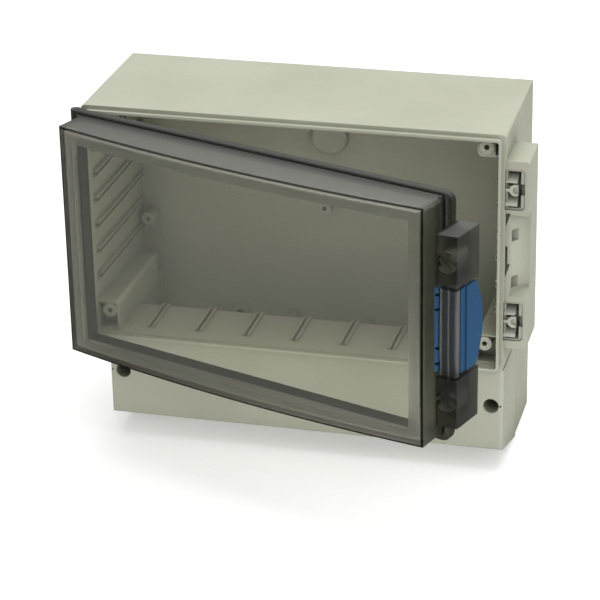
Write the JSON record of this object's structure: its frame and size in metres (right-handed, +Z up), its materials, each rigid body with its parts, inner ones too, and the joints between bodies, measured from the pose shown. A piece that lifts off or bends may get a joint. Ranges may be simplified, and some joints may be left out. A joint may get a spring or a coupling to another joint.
{
  "type": "abs enclosure",
  "caption": "Wall-mounted grey ABS instrument box with a smoked hinged lid, blue rocking latch, quarter-turn locks, card shelf and a sloping screwed terminal cover.",
  "frame": {"origin": "middle of the wall face at the back of the base", "axes": "+Y into the wall, -Y towards the lid, +X to the latch side, +Z up"},
  "size_m": [0.2637, 0.2023, 0.2094],
  "materials": {
    "base_grey": "fine texture",
    "smoked": "clear smoked",
    "smoked_solid": "gloss",
    "latch_blue": "satin",
    "clip_grey": "satin",
    "seal": "matte",
    "steel": "plated"
  },
  "bodies": {
    "base": {"base_shell": "base_grey", "terminal_cover": "base_grey", "cover_gasket": "seal", "cover_screws": "steel", "cover_washers": "seal", "lock_clip_upper": "clip_grey", "lock_clip_lower": "clip_grey", "hinge_pin_upper": "steel", "hinge_pin_lower": "steel"},
    "lid": {"lid_window": "smoked", "lid_gasket": "seal", "latch_pin": "steel", "lock_ring_upper": "seal", "lock_ring_lower": "seal"},
    "latch": {"latch_handle": "latch_blue"},
    "upper_lock": {"lock_screw_upper": "smoked_solid", "lock_retainer_upper": "steel"},
    "lower_lock": {"lock_screw_lower": "smoked_solid", "lock_retainer_lower": "steel"}
  },
  "joints": [
    {"name": "lid_hinge", "type": "hinge", "parent": "base", "child": "lid", "pos_m": [-0.1248, -0.0982, 0], "axis": [0, 0, -1], "range_deg": [-18.8, 111.2]},
    {"name": "latch_rock", "type": "hinge", "parent": "lid", "child": "latch", "pos_m": [0.11516, -0.19172, 0.03225], "axis": [0, 0, 1], "range_deg": [-4, 7]},
    {"name": "upper_lock_turn", "type": "hinge", "parent": "lid", "child": "upper_lock", "pos_m": [0.11405, -0.19219, 0.07225], "axis": [-0.3223, -0.9466, 0], "range_deg": [0, 90]},
    {"name": "lower_lock_turn", "type": "hinge", "parent": "lid", "child": "lower_lock", "pos_m": [0.11405, -0.19219, -0.00775], "axis": [-0.3223, -0.9466, 0], "range_deg": [0, 90]}
  ]
}
